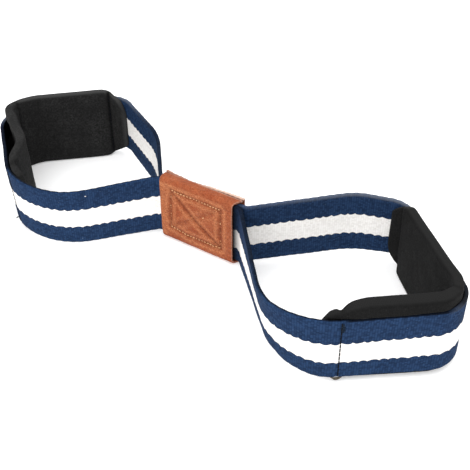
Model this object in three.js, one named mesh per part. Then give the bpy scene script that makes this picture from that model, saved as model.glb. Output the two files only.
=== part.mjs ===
// A figure-eight lifting strap: one endless band of webbing standing on edge, pinched in the middle by
// a stitched leather sleeve into two loops, each loop lined with a foam wrist pad.
// Millimetres. X runs along the sleeve, Y across it and Z up. The strap stands on Z = 0, and the origin
// lies under the middle of the sleeve.

import * as THREE from 'three';

// Clearance that keeps sewn pieces apart
const SEAT = 0.3;

// Webbing
const WEBBING_WIDTH = 38;
const WEBBING_THICK = 2.2;
const SELVEDGE_ROUND = 0.5;
const LAYER_GAP = 0.4;
const WEBBING_STEP = 3.5;

// Leather sleeve
const SLEEVE_LENGTH = 52;
const SLEEVE_SKEW = 2.2;
const SLEEVE_TOP = 43;
const RAW_EDGE_TOP = 43.8;
const LEATHER_THICK = 1.6;
const LEATHER_FOLD = 3;
const FOLD_SEGMENTS = 5;

// Wrist pads
const PAD_WIDTH = 49.5;
const PAD_EDGE_ROUND = 0.9;
const PAD_STEP = 4;

// Distances from the sleeve's middle plane
const LAYER_Y = (WEBBING_THICK + LAYER_GAP) / 2;
const SLEEVE_INSIDE = LAYER_Y + WEBBING_THICK / 2 + SEAT;
const SLEEVE_OUTSIDE = SLEEVE_INSIDE + LEATHER_THICK;

// The webbing's route in plan, walked clockwise seen from above. x and y are where two straight runs
// would meet, bend is the radius that rounds them off, rise is the height of the lower selvedge, and
// lean is how far the upper selvedge stands out past the lower one.
const ROUTE = [
  { corner: 'left_sleeve_near', x: -29, y: -LAYER_Y, bend: 5, rise: 2.8, lean: 0 },
  { corner: 'left_near', x: -64, y: -47.8, bend: 35, rise: 3.5, lean: 4 },
  { corner: 'left_front', x: -98.4, y: -50.5, bend: 38, rise: 4.2, lean: 2.5 },
  { corner: 'left_tip', x: -166.8, y: 4.5, bend: 25, rise: 3.6, lean: -1.2 },
  { corner: 'left_back', x: -108.8, y: 61.8, bend: 18, rise: 5, lean: 0 },
  { corner: 'left_far', x: -57.8, y: 34, bend: 60, rise: 4, lean: 2 },
  { corner: 'left_sleeve_far', x: -29, y: LAYER_Y, bend: 5, rise: 2.8, lean: 0 },
  { corner: 'right_sleeve_far', x: 30.7, y: LAYER_Y, bend: 6, rise: 2.8, lean: 0 },
  { corner: 'right_far', x: 75.5, y: 45.5, bend: 35, rise: 3.7, lean: 2 },
  { corner: 'right_back', x: 102.7, y: 53.1, bend: 17, rise: 4.6, lean: -1.5 },
  { corner: 'right_tip', x: 168, y: -8.9, bend: 18, rise: 4.4, lean: -0.5 },
  { corner: 'right_front', x: 108, y: -56.7, bend: 28, rise: 2.8, lean: 1.2 },
  { corner: 'right_near', x: 79.5, y: -56, bend: 38, rise: 1.8, lean: 7.2 },
  { corner: 'right_sleeve_near', x: 28.2, y: -LAYER_Y, bend: 6, rise: 2.8, lean: 0 },
];

// Where each pad lies: the corner of the route that it lines, and its reach before and after it
const PADS = [
  { name: 'wrist_pad_left', corner: 'left_tip', before: 86, after: 80.5, bow: 'left' },
  { name: 'wrist_pad_right', corner: 'right_tip', before: 88.5, after: 71.6, bow: 'right' },
];

// A pad's sections, by distance from either end: a flap that tapers more from above than from below, the
// sewn line, then the full pad. low and high are the heights of its edges.
const PAD_SECTIONS = [
  { fromEnd: 0, low: 10, high: 36.8, thick: 2.6 },
  { fromEnd: 2.5, low: 6.8, high: 40, thick: 3.7 },
  { fromEnd: 6, low: 4.4, high: 42.8, thick: 4.2 },
  { fromEnd: 10.5, low: 2.6, high: 44.6, thick: 2.6 },
  { fromEnd: 14, low: 1, high: 47, thick: 4.6 },
  { fromEnd: 21, low: 0, high: PAD_WIDTH, thick: 5.6 },
];

// How far each pad bows in off the webbing between its sewn lines, by distance from its corner
const PAD_BOWS = [
  { fromTip: -76, left: 0, right: 0 },
  { fromTip: -49, left: 6.5, right: 0.5 },
  { fromTip: -24, left: 4.5, right: 0.3 },
  { fromTip: 0, left: 0, right: 0.5 },
  { fromTip: 26, left: 0.3, right: 0.1 },
  { fromTip: 55, left: 0.5, right: 0 },
  { fromTip: 69, left: 0, right: 0 },
];

// Value of a column at a place in a table, run straight or eased from each row to the next
function fromTable(rows, key, column, at, eased = true) {
  const next = rows.findIndex((row) => row[key] > at);
  if (next === 0) return rows[0][column];
  if (next < 0) return rows[rows.length - 1][column];
  const before = rows[next - 1];
  const after = rows[next];
  const part = (at - before[key]) / (after[key] - before[key]);
  const share = eased ? THREE.MathUtils.smoothstep(part, 0, 1) : part;
  return THREE.MathUtils.lerp(before[column], after[column], share);
}

// The route as lines and arcs, with the distance walked at the middle of each bend
function buildRoute(corners) {
  const path = new THREE.Path();
  const stations = [];
  const count = corners.length;
  for (let i = 0; i < count; i += 1) {
    const here = new THREE.Vector2(corners[i].x, corners[i].y);
    const from = corners[(i + count - 1) % count];
    const to = corners[(i + 1) % count];
    const arriving = here.clone().sub(new THREE.Vector2(from.x, from.y)).normalize();
    const leaving = new THREE.Vector2(to.x, to.y).sub(here).normalize();
    const turn = Math.atan2(arriving.cross(leaving), arriving.dot(leaving));
    const side = Math.sign(turn);
    const trim = corners[i].bend * Math.tan(Math.abs(turn) / 2);
    const entry = here.clone().addScaledVector(arriving, -trim);
    const across = new THREE.Vector2(-arriving.y, arriving.x);
    const centre = entry.clone().addScaledVector(across, side * corners[i].bend);
    const start = Math.atan2(entry.y - centre.y, entry.x - centre.x);
    path.absarc(centre.x, centre.y, corners[i].bend, start, start + turn, turn < 0);
    const walked = path.getLength() - (corners[i].bend * Math.abs(turn)) / 2;
    stations.push({ ...corners[i], walked });
  }
  path.closePath();
  const length = path.getLength();
  const first = { ...stations[0], walked: stations[0].walked + length };
  const last = { ...stations[count - 1], walked: stations[count - 1].walked - length };
  return { path, length, stations: [last, ...stations, first] };
}

// Frame of the route at a distance walked: the point, the outward direction, the rise and the lean
function routeFrame(route, walked) {
  const along = THREE.MathUtils.euclideanModulo(walked, route.length);
  const point = route.path.getPointAt(along / route.length);
  const tangent = route.path.getTangentAt(along / route.length);
  const outward = new THREE.Vector2(-tangent.y, tangent.x);
  const rise = fromTable(route.stations, 'walked', 'rise', along, false);
  const lean = fromTable(route.stations, 'walked', 'lean', along, false);
  return { point, outward, rise, lean };
}

// Corners of an upright rectangle with cut corners, from the inner lower one round to the inside
function roundedUpright(inner, outer, low, high, round) {
  return [
    [inner + round, low],
    [outer - round, low],
    [outer, low + round],
    [outer, high - round],
    [outer - round, high],
    [inner + round, high],
    [inner, high - round],
    [inner, low + round],
  ];
}

// A section's corners set in space at a place on the route, leaning as the webbing leans there
function placeSection(frame, corners) {
  const middle = frame.rise + WEBBING_WIDTH / 2;
  return corners.map(([out, up]) => {
    const reach = out + (frame.lean * (up - middle)) / WEBBING_WIDTH;
    const flat = frame.point.clone().addScaledVector(frame.outward, reach);
    return new THREE.Vector3(flat.x, flat.y, up);
  });
}

// Solid through a row of sections with equal numbers of corners, closed into a ring or capped
function loft(sections, ring) {
  const sides = sections[0].length;
  const positions = sections.flat().flatMap((corner) => corner.toArray());
  const faces = [];
  const spans = ring ? sections.length : sections.length - 1;
  for (let i = 0; i < spans; i += 1) {
    const here = i * sides;
    const next = ((i + 1) % sections.length) * sides;
    for (let j = 0; j < sides; j += 1) {
      const k = (j + 1) % sides;
      faces.push(here + j, here + k, next + k, here + j, next + k, next + j);
    }
  }
  if (!ring) {
    const end = (sections.length - 1) * sides;
    for (let j = 1; j < sides - 1; j += 1) {
      faces.push(0, j + 1, j, end, end + j, end + j + 1);
    }
  }
  const geometry = new THREE.BufferGeometry();
  geometry.setAttribute('position', new THREE.Float32BufferAttribute(positions, 3));
  geometry.setIndex(faces);
  geometry.computeVertexNormals();
  return geometry;
}

// The endless band of webbing
function webbingGeometry(route) {
  const count = Math.round(route.length / WEBBING_STEP);
  const half = WEBBING_THICK / 2;
  const sections = [];
  for (let i = 0; i < count; i += 1) {
    const frame = routeFrame(route, (i / count) * route.length);
    const top = frame.rise + WEBBING_WIDTH;
    sections.push(placeSection(frame, roundedUpright(-half, half, frame.rise, top, SELVEDGE_ROUND)));
  }
  return loft(sections, true);
}

// A wrist pad lying on the inside of the webbing
function padGeometry(route, pad) {
  const tip = route.stations.find((station) => station.corner === pad.corner);
  const length = pad.before + pad.after;
  const ends = PAD_SECTIONS.map((row) => row.fromEnd);
  const fullFrom = ends[ends.length - 1];
  const fullLength = length - 2 * fullFrom;
  const fullSteps = Math.round(fullLength / PAD_STEP);
  const full = Array.from({ length: fullSteps - 1 }, (_, i) => fullFrom + ((i + 1) / fullSteps) * fullLength);
  const places = [...ends, ...full, ...ends.map((end) => length - end).reverse()];
  const sections = places.map((along) => {
    const fromTip = along - pad.before;
    const fromEnd = Math.min(along, length - along);
    const low = fromTable(PAD_SECTIONS, 'fromEnd', 'low', fromEnd);
    const high = fromTable(PAD_SECTIONS, 'fromEnd', 'high', fromEnd);
    const thick = fromTable(PAD_SECTIONS, 'fromEnd', 'thick', fromEnd);
    const outer = -(WEBBING_THICK / 2 + SEAT + fromTable(PAD_BOWS, 'fromTip', pad.bow, fromTip));
    const corners = roundedUpright(outer - thick, outer, low, high, PAD_EDGE_ROUND);
    return placeSection(routeFrame(route, tip.walked + fromTip), corners);
  });
  return loft(sections, false);
}

// Section of the leather, in Y and Z: a strip folded under the webbing and rolled over its top, ending
// against the raw edge that stands up behind it
function sleeveShape() {
  const inside = SLEEVE_INSIDE;
  const outside = SLEEVE_OUTSIDE;
  const foldCentre = outside - LEATHER_FOLD;
  const foldInside = LEATHER_FOLD - LEATHER_THICK;
  const rollCentre = SLEEVE_TOP - LEATHER_FOLD;
  const rollEnd = inside - SEAT;
  const shape = new THREE.Shape();
  shape.moveTo(outside, RAW_EDGE_TOP);
  shape.absarc(foldCentre, LEATHER_FOLD, LEATHER_FOLD, 0, -Math.PI / 2, true);
  shape.absarc(-foldCentre, LEATHER_FOLD, LEATHER_FOLD, -Math.PI / 2, -Math.PI, true);
  shape.absarc(-foldCentre, rollCentre, LEATHER_FOLD, Math.PI, Math.PI / 2, true);
  shape.lineTo(rollEnd, SLEEVE_TOP);
  shape.lineTo(rollEnd, SLEEVE_TOP - LEATHER_THICK);
  shape.absarc(-foldCentre, rollCentre, foldInside, Math.PI / 2, Math.PI, false);
  shape.absarc(-foldCentre, LEATHER_FOLD, foldInside, Math.PI, 1.5 * Math.PI, false);
  shape.absarc(foldCentre, LEATHER_FOLD, foldInside, 1.5 * Math.PI, 2 * Math.PI, false);
  shape.lineTo(inside, RAW_EDGE_TOP);
  shape.closePath();
  return shape;
}

// The leather sleeve, its section drawn out along X and cut askew at the right end, where the back leaf
// reaches past the front one
function sleeveGeometry() {
  const geometry = new THREE.ExtrudeGeometry(sleeveShape(), {
    depth: SLEEVE_LENGTH,
    bevelEnabled: false,
    curveSegments: FOLD_SEGMENTS,
  });
  const alongX = new THREE.Matrix4().makeBasis(
    new THREE.Vector3(0, 1, 0),
    new THREE.Vector3(0, 0, 1),
    new THREE.Vector3(1, 0, 0),
  );
  geometry.translate(0, 0, -SLEEVE_LENGTH / 2);
  geometry.applyMatrix4(alongX);
  const points = geometry.attributes.position;
  for (let i = 0; i < points.count; i += 1) {
    const skew = points.getX(i) > 0 ? (SLEEVE_SKEW * points.getY(i)) / SLEEVE_OUTSIDE : 0;
    points.setX(i, points.getX(i) + skew);
  }
  geometry.computeVertexNormals();
  return geometry;
}

// Named mesh with a finish of its own
function piece(name, geometry, colour, roughness) {
  const material = new THREE.MeshStandardMaterial({ color: colour, roughness, metalness: 0 });
  const mesh = new THREE.Mesh(geometry, material);
  mesh.name = name;
  return mesh;
}

const route = buildRoute(ROUTE);
const strap = new THREE.Group();
strap.add(piece('webbing', webbingGeometry(route), 0x24385f, 0.9));
strap.add(piece('leather_sleeve', sleeveGeometry(), 0xb4623c, 0.6));
for (const pad of PADS) {
  strap.add(piece(pad.name, padGeometry(route, pad), 0x1e1e1f, 0.85));
}

export default strap;
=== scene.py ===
"""A figure-eight lifting strap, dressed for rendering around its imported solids.

Sizes are in millimetres and are turned into metres where a mesh is made.
"""

import logging
import math
from dataclasses import dataclass, field
from enum import Enum
from typing import ClassVar

import bpy
import numpy as np
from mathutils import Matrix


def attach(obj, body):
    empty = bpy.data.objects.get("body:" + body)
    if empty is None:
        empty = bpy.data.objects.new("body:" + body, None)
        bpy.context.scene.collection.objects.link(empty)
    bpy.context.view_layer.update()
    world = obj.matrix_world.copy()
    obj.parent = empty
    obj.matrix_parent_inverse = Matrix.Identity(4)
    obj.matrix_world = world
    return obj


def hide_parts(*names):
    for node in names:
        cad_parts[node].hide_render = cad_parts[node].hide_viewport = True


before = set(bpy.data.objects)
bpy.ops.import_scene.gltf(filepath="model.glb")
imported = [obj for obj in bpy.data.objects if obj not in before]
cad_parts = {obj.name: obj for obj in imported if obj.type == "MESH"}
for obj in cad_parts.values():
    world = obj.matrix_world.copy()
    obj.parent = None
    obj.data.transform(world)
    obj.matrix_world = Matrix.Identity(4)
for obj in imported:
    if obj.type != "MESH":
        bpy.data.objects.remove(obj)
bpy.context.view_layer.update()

MM = 0.001
BODY = "root"
CLOTH_MAP = "cloth"
TURN = 2.0 * math.pi
QUARTER = TURN / 4.0

Array = np.ndarray
Numbers = float | np.ndarray
Span = tuple[float, float]
Point = tuple[float, float, float]
Table = tuple[float, ...]
Colour = tuple[float, float, float, float]
Piece = bpy.types.Object
Tree = bpy.types.NodeTree
Socket = bpy.types.NodeSocket
Inputs = bpy.types.NodeInputs
Outputs = bpy.types.NodeOutputs
Material = bpy.types.Material

WHITE: Colour = (1.0, 1.0, 1.0, 1.0)

# Sockets of Blender's Mix node that take and give colours.
MIX_FACTOR, MIX_FIRST, MIX_SECOND, MIX_RESULT = 0, 6, 7, 2

log = logging.getLogger("strap")


class Slot(Enum):
    """Material slots of the record."""

    WEBBING = "webbing"
    LEATHER = "leather"
    PAD = "pad"


class Mask(Enum):
    """Masks that are stored on the points of a mesh."""

    GROOVE = "groove_shade"
    RAW_EDGE = "raw_edge"
    RIM = "rim"
    CREST = "crest"
    SHADE = "shade"


class Face(Enum):
    """Which face of a pad or of the sleeve, as a sign."""

    OUTER = 1
    INNER = -1


# Helpers for numbers


def ramp(at: Array, start: Numbers, end: Numbers) -> Array:
    """Share from 0 at the start to 1 at the end, which may lie on either side of it."""
    return np.clip((at - start) / (end - start), 0.0, 1.0)


def smooth(share: Array) -> Array:
    """Share from 0 to 1, eased at both ends."""
    return share * share * (3.0 - 2.0 * share)


def eased(at: Array, places: Table, values: Table) -> Array:
    """Values of a table, eased from each row to the next.

    Args:
        at: Where to read the table.
        places: The rows' places, rising.
        values: The rows' values.

    Returns:
        The eased values.
    """
    spots = np.asarray(places)
    heights = np.asarray(values)
    row = np.clip(np.searchsorted(spots, at, side="right") - 1, 0, len(spots) - 2)
    share = smooth(ramp(at, spots[row], spots[row + 1]))
    return heights[row] + (heights[row + 1] - heights[row]) * share


def grey(value: float) -> Colour:
    """A grey that is opaque."""
    return (value, value, value, 1.0)


def bell(distance: Array, reach: float) -> Array:
    """Smooth bump of height 1 that fades out at about twice its reach."""
    return np.exp(-((distance / reach) ** 2))


def unit(angle: float) -> Array:
    """Direction of an angle, in two columns."""
    return np.array([math.cos(angle), math.sin(angle)])


def strides(points: Array) -> Array:
    """Distance walked to each point of a line."""
    return np.concatenate([[0.0], np.cumsum(np.linalg.norm(np.diff(points, axis=0), axis=1))])


def spaced(length: float, ends: Table, margin: float, step: float) -> Array:
    """Places along a length, even in its middle and closer at both ends.

    Args:
        length: The length.
        ends: Places from either end.
        margin: Where the even places start and end.
        step: Their distance.

    Returns:
        The places, rising.
    """
    close = np.array(ends)
    middle = np.linspace(margin, length - margin, round((length - 2.0 * margin) / step))
    return np.concatenate([close, middle, length - close[::-1]])


def crumple(x: Array, y: Array, seed: int, shortest: float, longest: float, waves: int = 14) -> Array:
    """Smooth unevenness of a hand-worked sheet, summed from waves that run every way.

    Args:
        x: First coordinate.
        y: Second coordinate, of the same shape.
        seed: Which unevenness.
        shortest: Length of the shortest wave.
        longest: Length of the longest wave.
        waves: Number of waves.

    Returns:
        Heights between about -1 and 1.
    """
    dice = np.random.default_rng(seed)
    total = np.zeros_like(x)
    for length in np.geomspace(shortest, longest, waves):
        turn = dice.uniform(0.0, TURN)
        phase = dice.uniform(0.0, TURN)
        way = TURN / length
        total = total + length * np.sin(way * (x * math.cos(turn) + y * math.sin(turn)) + phase)
    return total / (3.0 * longest)


# Meshes


@dataclass
class Patchwork:
    """Points and faces of a mesh in the making, with a cloth coordinate for every face corner."""

    points: list[Array] = field(default_factory=list)
    faces: list[list[int]] = field(default_factory=list)
    coords: list[Array] = field(default_factory=list)
    masks: dict[Mask, list[Array]] = field(default_factory=dict)
    count: int = 0

    def add_grid(
        self,
        grid: Array,
        rows: Array,
        columns: Array,
        closed: bool = False,
        masks: dict[Mask, Array] | None = None,
        shift: Array | None = None,
    ) -> int:
        """Adds a skin over a grid of points whose columns close into a ring.

        Args:
            grid: Points by row and column.
            rows: Cloth coordinate of each row, with one more at the end where the rows close.
            columns: Cloth coordinate of each column.
            closed: Whether the last row joins the first.
            masks: Values by row and column, by mask.
            shift: What each row adds to its columns' cloth coordinate.

        Returns:
            The number of the first new point.
        """
        height, width = grid.shape[:2]
        first = self.count
        self.points.append(grid.reshape(-1, 3))
        self.count += height * width
        for mask, values in (masks or {}).items():
            self.masks.setdefault(mask, []).append(np.broadcast_to(values, (height, width)).ravel())
        spans = height if closed else height - 1
        row = np.repeat(np.arange(spans), width)
        column = np.tile(np.arange(width), spans)
        after = (column + 1) % width
        below = (row + 1) % height
        quads = np.stack([row * width + column, row * width + after, below * width + after, below * width + column])
        self.faces.extend((quads.T + first).tolist())
        corner_rows = np.stack([row, row, row + 1, row + 1], axis=1)
        across = columns[np.stack([column, after, after, column], axis=1)]
        if shift is not None:
            across = across + shift[corner_rows]
        self.coords.append(np.stack([rows[corner_rows], across], axis=2).reshape(-1, 2))
        return first

    def add_faces(self, faces: list[list[int]], coord: Span) -> None:
        """Adds loose faces that share one cloth coordinate."""
        self.faces.extend(faces)
        self.coords.append(np.tile(np.array(coord), (sum(len(face) for face in faces), 1)))

    def add_caps(self, first: int, ring: int, along: Array) -> None:
        """Closes both ends of an open grid with fans of triangles.

        Args:
            first: Number of the grid's first point.
            ring: Number of its columns.
            along: Cloth coordinate of each row.
        """
        last = first + (len(along) - 1) * ring
        for cap, place in ((range(first + ring - 1, first - 1, -1), along[0]), (range(last, last + ring), along[-1])):
            self.add_faces([[cap[0], cap[i], cap[i + 1]] for i in range(1, ring - 1)], (float(place), 0.0))

    def to_piece(self, name: str, material: Material, slot: Slot, node: str | None = None) -> Piece:
        """Makes a smooth piece of the patchwork, dresses it, ties it to the frame and reports it.

        Args:
            name: Name of the piece.
            material: Its material.
            slot: Material slot of the record that its finish comes from; not used.
            node: Solid that it stands for, if any.

        Returns:
            The piece.
        """
        mesh = bpy.data.meshes.new(name)
        mesh.from_pydata((np.vstack(self.points) * MM).tolist(), [], self.faces)
        layer = mesh.uv_layers.new(name=CLOTH_MAP)
        layer.uv.foreach_set("vector", np.vstack(self.coords).astype(np.float32).ravel())
        for mask, values in self.masks.items():
            attribute = mesh.attributes.new(mask.value, "FLOAT", "POINT")
            attribute.data.foreach_set("value", np.concatenate(values).astype(np.float32))
        mesh.polygons.foreach_set("use_smooth", np.ones(len(mesh.polygons), dtype=bool))
        mesh.materials.append(material)
        mesh.update()
        piece = bpy.data.objects.new(name, mesh)
        bpy.context.scene.collection.objects.link(piece)
        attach(piece, BODY)
        if node is not None:
            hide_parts(node)
        log.info("%s: %d faces", name, len(mesh.polygons))
        return piece


# The route of the webbing


@dataclass(frozen=True)
class Corner:
    """A bend of the route: where two straight runs would meet, and how the band stands there.

    The stripe is how far the white stripe lies above its usual place. The last two columns give how strong
    the painted highlight and the painted shade are on the band's upper lip on the far side of the loops.
    """

    name: str
    x: float
    y: float
    bend: float
    rise: float
    lean: float
    stripe: float
    painted_highlight: float = 0.9
    dark: float = 0.0


@dataclass(frozen=True)
class Stretch:
    """An arc or a straight run of the route."""

    start: float
    length: float
    origin: Array
    heading: float
    radius: float
    turn: float


@dataclass
class Route:
    """The webbing's closed route in plan, walked clockwise seen from above."""

    corners: tuple[Corner, ...]
    width: float = 38.0
    length: float = field(init=False)
    stretches: list[Stretch] = field(init=False)
    stations: dict[str, float] = field(init=False)

    def __post_init__(self) -> None:
        """Lays the arcs and the straight runs end to end."""
        spots = np.array([[corner.x, corner.y] for corner in self.corners])
        count = len(spots)
        bends = []
        for i, corner in enumerate(self.corners):
            arriving = spots[i] - spots[i - 1]
            leaving = spots[(i + 1) % count] - spots[i]
            heading = math.atan2(arriving[1], arriving[0])
            turn = math.remainder(math.atan2(leaving[1], leaving[0]) - heading, TURN)
            trim = corner.bend * math.tan(abs(turn) / 2.0)
            way_in = spots[i] - trim * unit(heading)
            way_out = spots[i] + trim * unit(heading + turn)
            bends.append((way_in, way_out, heading, turn, corner))
        self.stretches = []
        self.stations = {}
        walked = 0.0
        for i, (way_in, way_out, heading, turn, corner) in enumerate(bends):
            arc = corner.bend * abs(turn)
            self.stations[corner.name] = walked + arc / 2.0
            self.stretches.append(Stretch(walked, arc, way_in, heading, corner.bend, turn))
            walked += arc
            run = float(np.linalg.norm(bends[(i + 1) % count][0] - way_out))
            self.stretches.append(Stretch(walked, run, way_out, heading + turn, 0.0, 0.0))
            walked += run
        self.length = walked

    def plan(self, walked: Array) -> tuple[Array, Array]:
        """Points and outward directions of the route.

        Args:
            walked: Distances from the route's start.

        Returns:
            The points and the outward directions, two columns each.
        """
        at = np.mod(walked, self.length)
        starts = np.array([stretch.start for stretch in self.stretches])
        chosen = np.searchsorted(starts, at, side="right") - 1
        point = np.zeros((len(at), 2))
        heading = np.zeros(len(at))
        for i, stretch in enumerate(self.stretches):
            here = chosen == i
            gone = at[here] - stretch.start
            if stretch.turn == 0.0:
                point[here] = stretch.origin + gone[:, None] * unit(stretch.heading)
                heading[here] = stretch.heading
                continue
            swing = math.copysign(stretch.radius, stretch.turn)
            turned = stretch.heading + gone / swing
            point[here, 0] = stretch.origin[0] + swing * (np.sin(turned) - math.sin(stretch.heading))
            point[here, 1] = stretch.origin[1] - swing * (np.cos(turned) - math.cos(stretch.heading))
            heading[here] = turned
        return point, np.stack([-np.sin(heading), np.cos(heading)], axis=1)

    def outward(self, walked: Array) -> Array:
        """Outward directions of the route, in three columns."""
        return np.hstack([self.plan(walked)[1], np.zeros((len(walked), 1))])

    def reading(self, column: str, walked: Array) -> Array:
        """A column of the corners' table, run straight from corner to corner.

        Args:
            column: Name of the column.
            walked: Distances from the route's start.

        Returns:
            The values.
        """
        places = np.array([self.stations[corner.name] for corner in self.corners])
        values = np.array([getattr(corner, column) for corner in self.corners])
        return np.interp(np.mod(walked, self.length), places, values, period=self.length)

    def place(self, walked: Array, out: Array, up: Array) -> Array:
        """Points in space beside the route.

        Args:
            walked: Distances from the route's start, one for each row.
            out: Distance outward from the band's middle, by row and column.
            up: Height above the floor, by row and column.

        Returns:
            Points by row and column.
        """
        point, outward = self.plan(walked)
        middle = self.reading("rise", walked) + self.width / 2.0
        lean = self.reading("lean", walked)
        reach = out + lean[:, None] * (up - middle[:, None]) / self.width
        flat = point[:, None, :] + outward[:, None, :] * reach[:, :, None]
        return np.concatenate([flat, up[:, :, None]], axis=2)

    def line(self, walked: Array, out: Array, up: Array) -> Array:
        """Points of a single line beside the route."""
        return self.place(walked, out[:, None], up[:, None])[:, 0, :]


# Finishes


class Board:
    """A node tree with short ways to add nodes and wire them."""

    def __init__(self, tree: Tree) -> None:
        """Keeps the tree and empties it."""
        self.tree = tree
        tree.nodes.clear()

    def node(self, kind: str, **settings: object) -> bpy.types.Node:
        """Adds a node.

        Args:
            kind: Blender's name of the node type.
            **settings: Properties to set on it.

        Returns:
            The node.
        """
        made = self.tree.nodes.new(kind)
        for key, value in settings.items():
            setattr(made, key, value)
        return made

    def feed(self, socket: Socket, value: object) -> None:
        """Links a socket to another one, or sets its value.

        Args:
            socket: The socket that takes the value.
            value: Another socket, or a plain value.
        """
        if isinstance(value, Socket):
            self.tree.links.new(value, socket)
        else:
            socket.default_value = value

    def maths(self, operation: str, *values: object, clamp: bool = False) -> Socket:
        """Adds a sum.

        Args:
            operation: Blender's name of the operation.
            *values: Sockets or numbers that it takes.
            clamp: Whether the result stays between 0 and 1.

        Returns:
            The result.
        """
        made = self.node("ShaderNodeMath", operation=operation, use_clamp=clamp)
        for socket, value in zip(made.inputs, values):
            self.feed(socket, value)
        return made.outputs[0]

    def times(self, first: object, second: object, clamp: bool = False) -> Socket:
        """Multiplies two values."""
        return self.maths("MULTIPLY", first, second, clamp=clamp)

    def gain(self, value: object, factor: object, add: object, clamp: bool = False) -> Socket:
        """Multiplies a value and adds to it."""
        return self.maths("MULTIPLY_ADD", value, factor, add, clamp=clamp)

    def spread(self, value: object, span: Span) -> Socket:
        """Stretches a value from 0..1 to a span."""
        return self.gain(value, span[1] - span[0], span[0])

    def blend(self, factor: object, first: object, second: object) -> Socket:
        """Blends two colours.

        Args:
            factor: Share of the second colour.
            first: First colour.
            second: Second colour.

        Returns:
            The blended colour.
        """
        made = self.node("ShaderNodeMix", data_type="RGBA")
        for number, value in ((MIX_FACTOR, factor), (MIX_FIRST, first), (MIX_SECOND, second)):
            self.feed(made.inputs[number], value)
        return made.outputs[MIX_RESULT]

    def noise(self, place: object, scale: object, detail: float) -> Socket:
        """Adds noise.

        Args:
            place: Where it is read.
            scale: Number of its cells in a unit.
            detail: Number of finer layers.

        Returns:
            Its value, about 0.5.
        """
        made = self.node("ShaderNodeTexNoise")
        for key, value in (("Vector", place), ("Scale", scale), ("Detail", detail)):
            self.feed(made.inputs[key], value)
        return made.outputs[0]

    def cloth(self) -> tuple[Socket, Socket]:
        """The cloth coordinates in millimetres: along and across.

        Returns:
            Both coordinates.
        """
        apart = self.node("ShaderNodeSeparateXYZ")
        self.feed(apart.inputs[0], self.node("ShaderNodeUVMap", uv_map=CLOTH_MAP).outputs[0])
        return apart.outputs[0], apart.outputs[1]

    def mask(self, mask: Mask) -> Socket:
        """A mask that is stored on the mesh's points."""
        return self.node("ShaderNodeAttribute", attribute_name=mask.value).outputs["Fac"]

    def object_place(self) -> Socket:
        """Place on the object, in metres."""
        return self.node("ShaderNodeTexCoord").outputs["Object"]

    def use(self, group: Tree, **inputs: object) -> Outputs:
        """Places a node group.

        Args:
            group: The group.
            **inputs: Values of its inputs.

        Returns:
            Its outputs.
        """
        made = self.node("ShaderNodeGroup", node_tree=group)
        for key, value in inputs.items():
            self.feed(made.inputs[key], value)
        return made.outputs


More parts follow.
